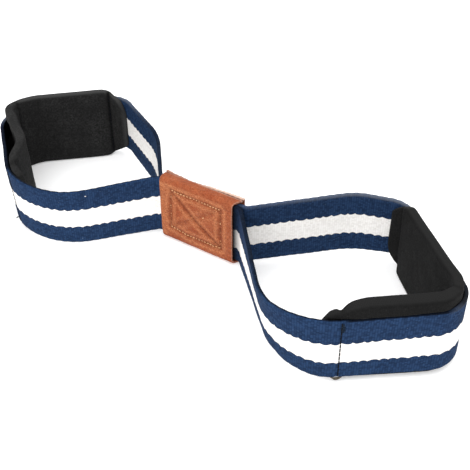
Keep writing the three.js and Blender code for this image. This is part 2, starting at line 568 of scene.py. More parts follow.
@dataclass(frozen=True)
class Effects:
    """Shader effects that several finishes share, each a node group."""

    RIDGE_POWER: ClassVar[float] = 2.5
    BEAD_POWER: ClassVar[float] = 3.0
    BEAD_DIP: ClassVar[float] = 0.6
    BROAD_DETAIL: ClassVar[float] = 2.0
    FINE_DETAIL: ClassVar[float] = 3.0
    CONTRAST: ClassVar[Span] = (2.2, -0.6)
    BOTH_CONTRAST: ClassVar[Span] = (2.6, -0.8)

    weave: Tree
    mottle: Tree
    twist: Tree

    @classmethod
    def build(cls) -> "Effects":
        """Builds every group once."""
        return cls(cls._weave(), cls._mottle(), cls._twist())

    @staticmethod
    def _open(name: str, takes: str, gives: str) -> tuple[Tree, Board, Outputs, Inputs]:
        """Starts a node group.

        Args:
            name: Name of the group.
            takes: Names of its inputs, all values but the one called Place.
            gives: Names of its outputs, all values.

        Returns:
            The group, its board, its inputs and its outputs.
        """
        tree = bpy.data.node_groups.new(name, "ShaderNodeTree")
        for key in takes.split():
            kind = "NodeSocketVector" if key == "Place" else "NodeSocketFloat"
            tree.interface.new_socket(key, in_out="INPUT", socket_type=kind)
        for key in gives.split():
            tree.interface.new_socket(key, in_out="OUTPUT", socket_type="NodeSocketFloat")
        board = Board(tree)
        return tree, board, board.node("NodeGroupInput").outputs, board.node("NodeGroupOutput").inputs

    @classmethod
    def _weave(cls) -> Tree:
        """Ribbed weave: ribs across the band, each a column of yarn knuckles that differ a little in tone.

        Returns:
            The group.
        """
        tree, board, given, result = cls._open("yarn_weave", "Along Across Pick End", "Height Tone")
        rib = board.maths("DIVIDE", given["Along"], given["Pick"])
        step = board.times(board.maths("FLOOR", rib), 0.5)
        knuckle = board.maths("ADD", board.maths("DIVIDE", given["Across"], given["End"]), step)
        beside, above = (
            board.maths("ABSOLUTE", board.gain(board.maths("FRACT", place), 2.0, -1.0)) for place in (rib, knuckle)
        )
        ridge = board.maths("SUBTRACT", 1.0, board.maths("POWER", beside, cls.RIDGE_POWER))
        bead = board.gain(board.maths("POWER", above, cls.BEAD_POWER), -cls.BEAD_DIP, 1.0)
        board.feed(result["Height"], board.times(ridge, bead))
        cell = board.node("ShaderNodeCombineXYZ")
        board.feed(cell.inputs[0], board.maths("FLOOR", rib))
        board.feed(cell.inputs[1], board.maths("FLOOR", knuckle))
        dice = board.node("ShaderNodeTexWhiteNoise", noise_dimensions="2D")
        board.feed(dice.inputs["Vector"], cell.outputs[0])
        board.feed(result["Tone"], dice.outputs[0])
        return tree

    @classmethod
    def _mottle(cls) -> Tree:
        """Uneven patches: broad ones, fine ones, and both together.

        Returns:
            The group.
        """
        tree, board, given, result = cls._open("mottle", "Place Broad Fine", "Broad Fine Both")
        broad = board.noise(given["Place"], given["Broad"], cls.BROAD_DETAIL)
        fine = board.noise(given["Place"], given["Fine"], cls.FINE_DETAIL)
        board.feed(result["Broad"], board.gain(broad, *cls.CONTRAST, clamp=True))
        board.feed(result["Fine"], board.gain(fine, *cls.CONTRAST, clamp=True))
        both = board.maths("ADD", board.times(broad, 0.5), board.times(fine, 0.5))
        board.feed(result["Both"], board.gain(both, *cls.BOTH_CONTRAST, clamp=True))
        return tree

    @classmethod
    def _twist(cls) -> Tree:
        """Plies of a sewing thread, wound round it.

        Returns:
            The group.
        """
        tree, board, given, result = cls._open("thread_twist", "Along Around Plies", "Height")
        wind = board.maths("ADD", board.times(given["Along"], given["Plies"]), given["Around"])
        board.feed(result["Height"], board.maths("SINE", board.times(board.maths("FRACT", wind), math.pi)))
        return tree


class Bench(Board):
    """The board of a material, with its Principled shader and the shared effects at hand."""

    def __init__(self, name: str, effects: Effects) -> None:
        """Starts a material.

        Args:
            name: Name of the material.
            effects: The shared node groups.
        """
        self.material = bpy.data.materials.new(name)
        self.material.use_nodes = True
        super().__init__(self.material.node_tree)
        self.effects = effects
        shader = self.node("ShaderNodeBsdfPrincipled")
        self.inputs = shader.inputs
        self.feed(self.node("ShaderNodeOutputMaterial").inputs["Surface"], shader.outputs[0])

    def weave(self, pick: float, end: float) -> Outputs:
        """Places a ribbed weave on the cloth, with the sizes of its yarns."""
        along, across = self.cloth()
        return self.use(self.effects.weave, Along=along, Across=across, Pick=pick, End=end)

    def mottle(self, cells: Span) -> Outputs:
        """Places uneven patches, with so many broad and fine cells in a metre."""
        return self.use(self.effects.mottle, Place=self.object_place(), Broad=cells[0], Fine=cells[1])

    def dress(self, colour: Socket, roughness: object, specular: float) -> None:
        """Gives the shader its colour, its roughness and its gloss."""
        for key, value in (("Base Color", colour), ("Roughness", roughness), ("Specular IOR Level", specular)):
            self.feed(self.inputs[key], value)

    def bump(self, height: Socket, depth: float) -> None:
        """Feeds a height into the shader's normal.

        Args:
            height: Height from 0 to 1.
            depth: What a height of 1 stands for, in millimetres.
        """
        made = self.node("ShaderNodeBump")
        made.inputs["Distance"].default_value = depth * MM
        self.feed(made.inputs["Height"], height)
        self.feed(self.inputs["Normal"], made.outputs[0])


@dataclass(frozen=True)
class Finish:
    """What every finish shares: a name, and a material that its own method paints."""

    name: str

    def build(self, effects: Effects) -> Material:
        """Builds the material.

        Args:
            effects: The shared node groups.

        Returns:
            The material.
        """
        bench = Bench(self.name, effects)
        self.paint(bench)
        return bench.material

    def paint(self, bench: Bench) -> None:
        """Wires the shader, each finish in its own way."""
        raise NotImplementedError


@dataclass(frozen=True)
class WebbingFinish(Finish):
    """Navy webbing with a white stripe that has scalloped borders."""

    pick: float
    end: float = 0.95
    navy: Colour = (0.0156, 0.0375, 0.0920, 1.0)
    navy_deep: Colour = (0.0050, 0.0125, 0.0330, 1.0)
    white: Colour = (0.84, 0.822, 0.80, 1.0)
    white_deep: Colour = (0.60, 0.575, 0.54, 1.0)
    lint: Colour = (0.20, 0.26, 0.34, 1.0)
    # Colour of the painted highlight on the far runs' upper lip.
    painted_highlight: Colour = (0.105, 0.118, 0.145, 1.0)
    shade: Colour = (0.0020, 0.0026, 0.0042, 1.0)
    stripe: Span = (10.7, 24.4)
    scallop_length: float = 5.0
    scallop_depth: float = 0.9
    scallop_lag: float = 0.9
    drift_cells: float = 140.0
    drift: Span = (-1.6, 1.6)
    border: float = 0.16
    border_reach: float = 0.8
    border_tones: Span = (0.45, 1.0)
    patches: Span = (70.0, 1000.0)
    patch_tones: Span = (0.65, 1.25)
    yarn_tones: Span = (0.35, 1.35)
    rib_tones: Span = (0.45, 1.0)
    white_tones: Span = (0.35, 1.2)
    painted_highlight_tones: Span = (0.55, 1.0)
    lint_cells: float = 1500.0
    lint_least: float = 0.86
    lint_gain: float = 9.0
    roughness: Span = (0.98, 0.85)
    specular: float = 0.06
    relief: float = 0.2

    def paint(self, bench: Bench) -> None:
        """Wires the shader.

        Args:
            bench: The material's board.
        """
        weave = bench.weave(self.pick, self.end)
        uneven = bench.mottle(self.patches)["Both"]
        speck = bench.times(bench.spread(weave["Tone"], self.yarn_tones), bench.spread(uneven, self.patch_tones))
        tone = bench.times(bench.spread(weave["Height"], self.rib_tones), speck)
        inside = self._inside(bench)
        beside = bench.times(bench.maths("ABSOLUTE", inside), 1.0 / self.border_reach, clamp=True)
        depth = bench.times(tone, bench.spread(beside, self.border_tones))
        navy = bench.blend(depth, self.navy_deep, self.navy)
        specks = bench.noise(bench.object_place(), self.lint_cells, detail=0.0)
        fluff = bench.maths("SUBTRACT", specks, self.lint_least)
        navy = bench.blend(bench.times(fluff, self.lint_gain, clamp=True), navy, self.lint)
        # Painted highlight on the far runs' upper lip, uneven in strength.
        lit_lip = bench.times(bench.mask(Mask.RIM), bench.spread(uneven, self.painted_highlight_tones))
        navy = bench.blend(lit_lip, navy, self.painted_highlight)
        white = bench.blend(bench.spread(tone, self.white_tones), self.white_deep, self.white)
        colour = bench.blend(bench.gain(inside, 1.0 / self.border, 0.5, clamp=True), navy, white)
        colour = bench.blend(bench.mask(Mask.SHADE), colour, self.shade)
        bench.dress(colour, bench.spread(weave["Height"], self.roughness), self.specular)
        bench.bump(tone, self.relief)

    def _inside(self, bench: Bench) -> Socket:
        """Distance inside the white stripe, whose borders the navy bulges into.

        Args:
            bench: The material's board.

        Returns:
            The distance, below 0 outside the stripe.
        """
        along, across = bench.cloth()
        drift = bench.spread(bench.noise(bench.object_place(), self.drift_cells, detail=1.0), self.drift)
        turn = bench.gain(along, math.pi / self.scallop_length, drift)
        lobe_low = bench.maths("ABSOLUTE", bench.maths("SINE", turn))
        lobe_high = bench.maths("ABSOLUTE", bench.maths("SINE", bench.maths("ADD", turn, self.scallop_lag)))
        low = bench.gain(lobe_low, self.scallop_depth, self.stripe[0])
        high = bench.gain(lobe_high, -self.scallop_depth, self.stripe[1])
        return bench.maths("MINIMUM", bench.maths("SUBTRACT", across, low), bench.maths("SUBTRACT", high, across))


@dataclass(frozen=True)
class LeatherFinish(Finish):
    """Tan pull-up leather with scuffs, pale cut edges, painted shade in its grooves and painted highlight on its
    crests.
    """

    tan: Colour = (0.264, 0.0585, 0.0182, 1.0)
    tan_deep: Colour = (0.258, 0.0425, 0.0096, 1.0)
    tan_pale: Colour = (0.490, 0.160, 0.064, 1.0)
    # Colour of the scuffs and the painted highlight on the crests.
    scuff_and_highlight: Colour = (0.605, 0.248, 0.106, 1.0)
    pore: Colour = (0.110, 0.022, 0.007, 1.0)
    # Colour of the painted shade in the grooves and on the inner skin.
    groove_shade: Colour = (0.095, 0.020, 0.0065, 1.0)
    cut: Colour = (0.62, 0.44, 0.355, 1.0)
    patches: Span = (130.0, 700.0)
    patch_tones: Span = (0.0, 0.95)
    scuffs: Span = (90.0, 1500.0)
    rub_tones: Span = (0.10, 1.0)
    scuff_and_highlight_tones: Span = (-0.1, 1.0)
    pore_share: float = 0.48
    grain_cells: float = 1000.0
    grain_gain: float = 2.2
    pore_gain: float = 1.6
    roughness: Span = (0.50, 0.72)
    specular: float = 0.18
    relief: float = 0.32

    def paint(self, bench: Bench) -> None:
        """Wires the shader.

        Args:
            bench: The material's board.
        """
        uneven = bench.mottle(self.patches)
        scuffing_and_highlight = bench.mottle(self.scuffs)
        layers = (
            (bench.times(scuffing_and_highlight["Fine"], bench.spread(scuffing_and_highlight["Broad"], self.rub_tones)), self.tan_pale),
            (bench.times(uneven["Fine"], self.pore_share), self.pore),
            # Scuffs and painted highlight on the crests beside the seams.
            (bench.times(bench.mask(Mask.CREST), bench.spread(scuffing_and_highlight["Fine"], self.scuff_and_highlight_tones)), self.scuff_and_highlight),
            # Painted shade in the grooves and on the inner skin.
            (bench.mask(Mask.GROOVE), self.groove_shade),
            (bench.mask(Mask.RAW_EDGE), self.cut),
        )
        colour = bench.blend(bench.spread(uneven["Broad"], self.patch_tones), self.tan, self.tan_deep)
        for share, tone in layers:
            colour = bench.blend(share, colour, tone)
        bench.dress(colour, bench.spread(uneven["Both"], self.roughness), self.specular)
        grain = bench.node("ShaderNodeTexVoronoi", feature="DISTANCE_TO_EDGE")
        bench.feed(grain.inputs["Vector"], bench.object_place())
        grain.inputs["Scale"].default_value = self.grain_cells
        pebble = bench.times(grain.outputs[0], self.grain_gain, clamp=True)
        bench.bump(bench.gain(uneven["Fine"], self.pore_gain, pebble), self.relief)


@dataclass(frozen=True)
class PadFinish(Finish):
    """Black foam with a fine knit face, a greyer rim that is partly painted highlight, and painted shade in its
    grooves.
    """

    face: Colour
    face_worn: Colour
    rim: Colour
    # Colour of the painted shade.
    groove_shade: Colour = grey(0.0015)
    pick: float = 0.8
    end: float = 0.7
    patches: Span = (60.0, 900.0)
    rim_share: float = 0.9
    roughness: Span = (0.95, 0.82)
    specular: float = 0.1
    relief: float = 0.08

    def paint(self, bench: Bench) -> None:
        """Wires the shader.

        Args:
            bench: The material's board.
        """
        knit = bench.weave(self.pick, self.end)
        uneven = bench.mottle(self.patches)
        colour = bench.blend(bench.times(uneven["Both"], knit["Tone"]), self.face, self.face_worn)
        colour = bench.blend(bench.times(bench.mask(Mask.RIM), self.rim_share), colour, self.rim)
        colour = bench.blend(bench.mask(Mask.GROOVE), colour, self.groove_shade)
        bench.dress(colour, bench.spread(knit["Height"], self.roughness), self.specular)
        bench.bump(bench.maths("ADD", knit["Height"], uneven["Fine"]), self.relief)


@dataclass(frozen=True)
class ThreadFinish(Finish):
    """Twisted sewing thread."""

    colour: Colour
    shade: Colour
    specular: float = 0.2
    plies: float = 2.2
    flecks: Span = (200.0, 2500.0)
    roughness: Span = (0.75, 0.55)
    relief: float = 0.08

    def paint(self, bench: Bench) -> None:
        """Wires the shader.

        Args:
            bench: The material's board.
        """
        along, around = bench.cloth()
        ply = bench.use(bench.effects.twist, Along=along, Around=around, Plies=self.plies)["Height"]
        fleck = bench.mottle(self.flecks)["Both"]
        colour = bench.blend(bench.times(ply, fleck), self.shade, self.colour)
        bench.dress(colour, bench.spread(ply, self.roughness), self.specular)
        bench.bump(ply, self.relief)


@dataclass(frozen=True)
class FloorFinish(Finish):
    """Plain pale studio floor, lit a little from below."""

    pale: Colour = grey(0.93)
    paler: Colour = grey(0.95)
    patches: Span = (2.0, 40.0)
    roughness: float = 0.9
    specular: float = 0.1
    glow: float = 0.15

    def paint(self, bench: Bench) -> None:
        """Wires the shader.

        Args:
            bench: The material's board.
        """
        colour = bench.blend(bench.mottle(self.patches)["Both"], self.pale, self.paler)
        bench.dress(colour, self.roughness, self.specular)
        bench.inputs["Emission Color"].default_value = WHITE
        bench.inputs["Emission Strength"].default_value = self.glow


# Sewing


@dataclass
class Sewing:
    """Rows of stitches or loose ends of one thread, gathered into one piece."""

    name: str
    slot: Slot
    finish: ThreadFinish
    radius: float
    stitch: float = 2.0
    gap: float = 0.5
    rings: int = 7
    sides: int = 7
    end_power: int = 5
    end_share: float = 0.12
    patch: Patchwork = field(default_factory=Patchwork)

    def row(self, path: Array, normal: Array, arch: float) -> None:
        """Sews a row of stitches along a path.

        Args:
            path: Points of the path, in millimetres.
            normal: Direction out of the cloth at each point.
            arch: How far a stitch's ends dip below its middle.
        """
        walked = strides(path)
        count = max(1, round(walked[-1] / (self.stitch + self.gap)))
        pitch = walked[-1] / count
        dip = arch * np.linspace(-1.0, 1.0, self.rings) ** 2
        for i in range(count):
            ends = (i + 0.5) * pitch + np.array([-0.5, 0.5]) * (pitch - self.gap)
            at = np.linspace(ends[0], ends[1], self.rings)
            middle, away = (
                np.stack([np.interp(at, walked, line[:, k]) for k in range(3)], axis=1) for line in (path, normal)
            )
            self.strand(middle - away * dip[:, None], away, at)

    def strand(self, middle: Array, away: Array, along: Array) -> None:
        """Adds one length of thread with rounded ends.

        Args:
            middle: Points of its middle line.
            away: Direction out of the cloth at each point.
            along: Distance along the thread at each point.
        """
        way = np.gradient(middle, axis=0)
        way /= np.linalg.norm(way, axis=1)[:, None]
        side = np.cross(way, away)
        side /= np.linalg.norm(side, axis=1)[:, None]
        top = np.cross(side, way)
        angle = np.linspace(0.0, TURN, self.sides, endpoint=False)
        place = np.linspace(-1.0, 1.0, len(middle))
        girth = self.radius * np.sqrt(np.clip(1.0 - np.abs(place) ** self.end_power, self.end_share, 1.0))
        around = np.cos(angle)[None, :, None] * side[:, None, :] + np.sin(angle)[None, :, None] * top[:, None, :]
        grid = middle[:, None, :] + around * girth[:, None, None]
        first = self.patch.add_grid(grid, along, angle / TURN)
        self.patch.add_caps(first, self.sides, along)

    def to_piece(self, effects: Effects) -> Piece:
        """Makes the piece."""
        return self.patch.to_piece(self.name, self.finish.build(effects), self.slot)


# Webbing


@dataclass(frozen=True)
class Shades:
    """Strength of the painted shade on the webbing: its near lip, the sleeve's mouth and throat, the right tip, and
    by the pads.
    """

    lip: float = 0.8
    mouth: float = 0.95
    throat: float = 0.75
    tip: float = 0.9
    under_pad: float = 0.97
    pad_lip: float = 0.85


@dataclass
class Webbing:
    """The endless band of webbing, with ribs across it and scalloped selvedges."""

    route: Route
    seams: Table
    backings: tuple[Span, ...]
    shades: Shades = Shades()
    thick: float = 2.2
    rib: float = 1.3
    rib_depth: float = 0.04
    rib_samples: int = 4
    scallop_length: float = 5.0
    scallop_depth: float = 0.28
    scallop_mean: float = 0.75
    edge_reach: float = 3.0
    edge_round: float = 0.7
    edge_turns: Table = (-0.86, -0.5, 0.0, 0.5, 0.86)
    across: Table = (0.7, 2.0, 4.5, 8.0, 12.0, 16.0, 19.0, 22.0, 26.0, 30.0, 33.5, 36.0, 37.3)
    sways: tuple[Point, ...] = ((23.0, 0.7, 0.06), (41.0, 2.1, 0.05))
    pinch: float = 0.3
    pinch_reach: float = 1.1
    lip_places: Table = (35.8, 36.8, 37.3)
    lip_shares: Table = (0.0, 0.15, 1.0)
    lip_dark_to: float = 0.2
    face_from: float = 0.9
    pad_lip_to: float = 0.95
    near_from: float = 10.0
    near_fade: float = 12.0
    pad_fade: float = 3.0
    sleeve_reach: float = 15.0
    mouth: Span = (36.0, 24.5)
    throat: Span = (78.0, 54.0)
    tip_from: float = 60.0
    thread_off: float = 0.1
    row_points: int = 60

    def ribs(self) -> int:
        """Number of whole ribs round the route."""
        return round(self.route.length / self.rib)

    def start(self) -> float:
        """Place on the route where the band begins, hidden in the sleeve."""
        return -self.route.stretches[-1].length / 2.0

    def build(self, effects: Effects) -> Piece:
        """Builds and dresses the band.

        Args:
            effects: The shared node groups.

        Returns:
            The piece.
        """
        length = self.route.length
        width = self.route.width
        count = self.ribs() * self.rib_samples
        along = np.arange(count + 1) / count * length
        walked = self.start() + along[:-1]
        share, across = self._section(width)
        swell = self.rib_depth * (0.5 - 0.5 * np.cos(TURN * self.ribs() * along[:-1] / length))
        half = self.thick / 2.0 - self.rib_depth + swell
        out = share[None, :] * half[:, None] + self._sway(walked)[:, None]
        lobe = np.abs(np.sin(math.pi * along[:-1] / self.scallop_length)) - self.scallop_mean
        high = ramp(across, width - self.edge_reach, width) ** 2
        low = ramp(across, self.edge_reach, 0.0) ** 2
        pull = self.scallop_depth * lobe[:, None] * (high - low)[None, :]
        rise = self.route.reading("rise", walked)
        grid = self.route.place(walked, out, rise[:, None] + across[None, :] + pull)
        stripe = self.route.reading("stripe", self.start() + along)
        patch = Patchwork()
        patch.add_grid(grid, along, across, True, self._painted_light(walked, grid, share, across), -stripe)
        material = WebbingFinish("striped_webbing", length / self.ribs()).build(effects)
        return patch.to_piece("webbing_band", material, Slot.WEBBING, "webbing")

    def _painted_light(self, walked: Array, grid: Array, share: Array, across: Array) -> dict[Mask, Array]:
        """Painted highlight on the far runs' lip; painted shade on the near runs' lip, the sleeve's mouth, under the
        pads.

        Args:
            walked: Distances from the route's start.
            grid: Points by row and column.
            share: Share of the half thickness of each column.
            across: Distance across of each column.

        Returns:
            The masks, by row and column.
        """
        at = np.mod(walked, self.route.length)[:, None]
        left = self.route.stations["left_tip"] - self.near_from
        right = self.route.stations["right_tip"]
        near = ramp(at, left, left - self.near_fade) + ramp(at, right, right + self.near_fade)
        lip = np.interp(across, self.lip_places, self.lip_shares)[None, :]
        far_lip = (1.0 - near) * lip
        near_lip = near * lip
        x = grid[:, :, 0]
        by_sleeve = near * (x > self.sleeve_reach)
        tip = ramp(at, right - self.tip_from, right - self.tip_from + self.near_fade)
        # Painted shade: the near runs' lip, the sleeve's mouth and throat, the right tip and, where the corners give
        # it, the far lip.
        layers = [
            self.shades.lip * near_lip * (share < self.lip_dark_to) * (np.abs(share) < self.face_from),
            self.shades.mouth * ramp(x, *self.mouth) ** 2 * by_sleeve * (share > 0.0),
            self.shades.throat * ramp(x, *self.throat) * by_sleeve * lip,
            self.shades.tip * tip * far_lip,
            self.route.reading("dark", walked)[:, None] * far_lip,
        ]
        # Painted shade under each pad and along its lip.
        for start, end in self.backings:
            behind = np.clip(np.minimum(at - start, end - at) / self.pad_fade, 0.0, 1.0)
            layers.append(self.shades.under_pad * behind * (share < -self.face_from))
            layers.append(self.shades.pad_lip * behind * near_lip * (share < self.pad_lip_to))
        shade = np.maximum.reduce(np.broadcast_arrays(*layers))
        return {Mask.SHADE: shade, Mask.RIM: self.route.reading("painted_highlight", walked)[:, None] * far_lip}

    def _section(self, width: float) -> tuple[Array, Array]:
        """Section of the band, from the lower selvedge up the inner face and down the outer one.

        Args:
            width: Width of the band.

        Returns:
            Share of the half thickness, and distance across, of each point.
        """
        rows = np.array(self.across)
        turn = np.array(self.edge_turns)
        drop = self.edge_round - self.edge_round * np.sqrt(1.0 - turn**2)
        share = np.concatenate([-np.ones(len(rows)), turn, np.ones(len(rows)), -turn])
        return share, np.concatenate([rows, width - drop, rows[::-1], drop])

    def _sway(self, walked: Array) -> Array:
        """Slight unevenness of a hand-laid band, drawn in where a pad is sewn on.

        Args:
            walked: Distances from the route's start.

        Returns:
            How far the band lies out of its place.
        """
        turn = TURN * walked / self.route.length
        sway = sum(height * np.sin(count * turn + phase) for count, phase, height in self.sways)
        return sway - self.pinch * sum(bell(walked - seam, self.pinch_reach) for seam in self.seams)

    def spot(self, walked: Array, across: Array, off: float) -> tuple[Array, Array]:
        """Places on the outer face.

        Args:
            walked: Distances from the route's start.
            across: Distances from the lower selvedge.
            off: How far the places stand off the face.

        Returns:
            Points, and directions out of the face.
        """
        out = self.thick / 2.0 + self._sway(walked) + off
        up = self.route.reading("rise", walked) + across
        return self.route.line(walked, out, up), self.route.outward(walked)

    def sew(self, sewing: Sewing, tilt: float = 0.8, margin: float = 0.8, arch: float = 0.04) -> None:
        """Sews the pads' lines across the outer face.

        Args:
            sewing: The rows of stitches to add to.
            tilt: How far a line's upper end lies on from its lower one.
            margin: How far a line stays off the selvedges.
            arch: How far a stitch's ends dip below its middle.
        """
        across = np.linspace(margin, self.route.width - margin, self.row_points)
        for seam in self.seams:
            walked = seam + tilt * (across / self.route.width - 0.5)
            sewing.row(*self.spot(walked, across, self.thread_off), arch)


@dataclass(frozen=True)
class BarTack:
    """A bar tack over the upper end of a sewn line: slanting strands, the middle ones longer."""

    middle: float = 33.6
    strands: int = 11
    spacing: float = 0.48
    slopes: Span = (-0.7, 0.9)
    reach: float = 0.6
    long_reach: float = 1.0
    long_strands: int = 5
    lead: float = 0.5
    step: float = 0.25

    def sew(self, band: Webbing, sewing: Sewing, seam: float) -> None:
        """Sews the tack.

        Args:
            band: The webbing.
            sewing: The threads to add to.
            seam: Where the line lies on the route.
        """
        share = np.linspace(-1.0, 1.0, sewing.rings)
        for i in range(self.strands):
            beside = i - self.strands // 2
            reach = self.long_reach if abs(beside) <= self.long_strands // 2 else self.reach
            across = self.middle + self.spacing * beside + self.slopes[i % 2] * share / 2.0
            walked = seam - self.lead + self.step * (i % 3) + reach * share
            sewing.strand(*band.spot(walked, across, band.thread_off), walked)


@dataclass(frozen=True)
class ThreadEnd:
    """A short end of thread on the outer face: where it starts and ends along, across and off the band.

    Places along are counted from where it is laid.
    """

    start: Point
    end: Point
    sag: float
    points: int = 9

    def lay(self, band: Webbing, sewing: Sewing, start: float = 0.0) -> None:
        """Lays the thread.

        Args:
            band: The webbing it hangs from.
            sewing: The threads to add to.
            start: Where it is laid, as a distance from the route's start.
        """
        share = np.linspace(0.0, 1.0, self.points)
        walked, across, off = (a + (b - a) * share for a, b in zip(self.start, self.end))
        places, away = band.spot(start + walked, across - self.sag * np.sin(math.pi * share), 0.0)
        sewing.strand(places + away * off[:, None], np.tile([0.0, 0.0, 1.0], (self.points, 1)), share)


# Wrist pads


@dataclass(frozen=True)
class PadEnd:
    """An end of a pad: heights of its edges at each flap place, its sewn line's distance and the strength of the
    painted shade there.
    """

    lows: Table
    highs: Table
    sewn: float
    dark: float


@dataclass
class WristPad:
    """A foam pad sewn inside the outer end of a loop.

    Places along a pad that bows, dips and lips are given for are counted from the loop's tip.
    """

    name: str
    node: str
    finish: PadFinish
    route: Route
    corner: str
    before: float
    after: float
    bows: Table
    dips: Table
    lips: Table
    ends: tuple[PadEnd, PadEnd]
    crease: float
    lip_inside: float
    side_dark: float
    rim_near: float
    groove_reach: float = 2.0
    groove_depth: float = 1.3
    line_reach: float = 1.25
    crease_reach: float = 1.2
    crease_fade: float = 3.0
    crease_dark: float = 0.5
    webbing_thick: float = 2.2
    seat: float = 0.3
    width: float = 49.5
    fill: float = 0.8
    step: float = 0.8
    corner_round: float = 1.4
    round_share: float = 0.40
    corner_points: int = 5
    face_points: int = 24
    end_places: Table = (0.0, 0.7, 1.6, 3.0, 5.0, 7.5, 10.0, 13.0, 17.0, 23.0)
    end_thicks: Table = (1.4, 2.5, 3.4, 4.1, 4.4, 4.3, 4.4, 4.9, 5.4, 5.6)
    end_sections: Table = (0.0, 0.25, 0.5, 0.85, 1.2, 1.6, 2.1)
    end_rim: float = 2.0
    end_margin: float = 2.7
    rim_places: Span = (-8.0, 10.0)
    face_rises: Table = (0.0, 0.3, 0.8, 1.0)
    face_shares: Table = (0.0, 0.76, 0.92, 1.0)
    lip_clear: float = 0.15
    lip_outside_rise: float = 0.8
    lip_inside_rise: float = 6.0
    dent: float = 0.14
    dent_seed: int = 5
    dent_lengths: Span = (5.0, 22.0)
    row_points: int = 60

    def build(self, effects: Effects) -> Piece:
        """Builds and dresses the pad.

        Args:
            effects: The shared node groups.

        Returns:
            The piece.
        """
        along = spaced(self.before + self.after, self.end_sections, self.end_margin, self.step)
        outer = self.outer(along)
        low, high = self.edges(along)
        out, up, rim = self._ring(outer - self.thick(along), outer, low, high, along)
        out = out + self._lip(along, up)
        ring = up.shape[1]
        end = 1.0 - ramp(np.minimum(along, along[-1] - along), 0.0, self.end_rim)[:, None]
        # Painted shade in the crease at the tip and in the grooves of the sewn lines.
        groove_shade = self.crease_dark * min(self.crease, 1.0) * bell(along - self.before, self.crease_reach)
        for line, side in zip(self.sewn(), self.ends):
            groove_shade = np.maximum(groove_shade, side.dark * bell(along - line, self.line_reach))
        # Painted shade on the outer side, fading out over its upper corner.
        top = self._outside_points()
        beside = self.side_dark * ramp(np.arange(ring), top - 1, top - self.corner_points)
        # The rim's painted highlight, at rim_near strength before the tip.
        lit = eased(along - self.before, self.rim_places, (self.rim_near, 1.0))[:, None]
        masks = {
            Mask.RIM: np.maximum(rim[None, :], end) * lit,
            Mask.GROOVE: np.maximum(groove_shade[:, None], beside[None, :]),
        }
        patch = Patchwork()
        columns = np.linspace(0.0, 2.0 * self.width, ring)
        first = patch.add_grid(self.route.place(self.walked(along), out, up), along, columns, masks=masks)
        patch.add_caps(first, ring, along)
        piece = patch.to_piece(self.name, self.finish.build(effects), Slot.PAD, self.node)
        return piece

    def sewn(self) -> Span:
        """Distances along the pad of its two sewn lines."""
        return self.ends[0].sewn, self.before + self.after - self.ends[1].sewn

    def walked(self, along: Array) -> Array:
        """Places on the route, from distances along the pad."""
        return self.route.stations[self.corner] - self.before + along

    def outer(self, along: Array) -> Array:
        """Where the pad's outer face lies, out from the band's middle."""
        bow = eased(along - self.before, BOW_PLACES, self.bows)
        return -(self.webbing_thick / 2.0 + self.seat + bow)

    def edges(self, along: Array) -> tuple[Array, Array]:
        """Heights of the pad's edges.

        Args:
            along: Distances along the pad.

        Returns:
            Heights of the lower and the upper edge.
        """
        length = self.before + self.after
        low, high = (
            np.where(
                along < length / 2.0,
                np.interp(along, FLAP_PLACES, getattr(self.ends[0], column)),
                np.interp(length - along, FLAP_PLACES, getattr(self.ends[1], column)),
            )
            for column in ("lows", "highs")
        )
        return low, np.minimum(high, self.width - eased(along - self.before, BOW_PLACES, self.dips))

    def thick(self, along: Array) -> Array:
        """Thickness of the pad, with the sewn lines pressed in.

        Args:
            along: Distances along the pad.

        Returns:
            The thicknesses.
        """
        full = eased(np.minimum(along, self.before + self.after - along), self.end_places, self.end_thicks)
        full = full - self.crease * np.exp(-np.abs(along - self.before) / self.crease_fade)
        return full - self.groove_depth * sum(bell(along - line, self.groove_reach) for line in self.sewn())

    def _outside_points(self) -> int:
        """Number of a section's points on its outer face and its two corners, which come first."""
        return 2 * self.corner_points + self.face_points

    def _lip(self, along: Array, up: Array) -> Array:
        """How far the foam above the webbing bulges out over its upper selvedge.

        Args:
            along: Distance along the pad, section by section.
            up: Heights, by section and point.

        Returns:
            Distances, by section and point.
        """
        selvedge = self.route.reading("rise", self.walked(along)) + self.route.width + self.lip_clear
        on_outside = np.arange(up.shape[1]) < self._outside_points()
        rise = np.where(on_outside, self.lip_outside_rise, self.lip_inside_rise)
        lip = eased(along - self.before, LIP_PLACES, self.lips)[:, None]
        lip = lip * np.where(on_outside, 1.0, self.lip_inside)
        return lip * smooth(ramp(up - selvedge[:, None], 0.0, rise))

